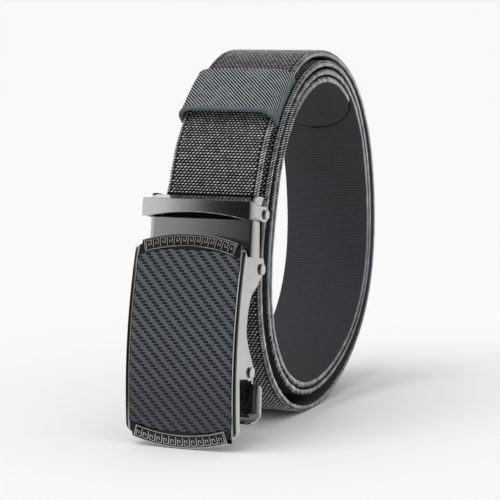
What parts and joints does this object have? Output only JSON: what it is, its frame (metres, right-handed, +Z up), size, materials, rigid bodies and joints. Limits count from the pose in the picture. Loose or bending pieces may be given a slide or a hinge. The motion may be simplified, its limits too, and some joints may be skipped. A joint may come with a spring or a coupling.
{
  "type": "ratchet belt",
  "caption": "Woven strap wound in a loose upright coil, with a keeper loop, a lever clamp and a hinged curved buckle cover with a sprung release lever.",
  "frame": {"origin": "middle of the base of the whole belt as it stands, on the surface under the coil and the foot of the cover", "axes": "+Z up; -Y the way the buckle faces; X along the width of the strap and the axis of the coil"},
  "size_m": [0.0458, 0.1532, 0.136],
  "materials": {
    "strap_webbing": "woven black webbing with light grey floats",
    "keeper_webbing": "grey diagonal twill",
    "gunmetal": "polished dark plating",
    "steel": "satin",
    "woven_fibre": "grey twill fibre weave under lacquer"
  },
  "bodies": {
    "belt": {"strap": "strap_webbing", "keeper_loop": "keeper_webbing", "clamp_frame": "gunmetal", "clamp_rivet_left": "steel", "clamp_rivet_right": "steel", "hinge_pin": "steel"},
    "lever": {"clamp_lever": "gunmetal"},
    "plate": {"cover": "gunmetal", "inlay_panel": "woven_fibre", "release_pin": "steel"},
    "release": {"release_lever": "gunmetal"}
  },
  "joints": [
    {"name": "cover_hinge", "type": "hinge", "parent": "belt", "child": "plate", "pos_m": [0, -0.05451, 0.06164], "axis": [1, 0, 0], "range_deg": [-20, 8]},
    {"name": "clamp_hinge", "type": "hinge", "parent": "belt", "child": "lever", "pos_m": [0, -0.0501, 0.08049], "axis": [-1, 0, 0], "range_deg": [0, 50]},
    {"name": "release_hinge", "type": "hinge", "parent": "plate", "child": "release", "pos_m": [0, -0.06248, 0.02614], "axis": [1, 0, 0], "range_deg": [0, 20], "stiffness_Nm_per_rad": 0.03, "springref_deg": -17.19}
  ]
}
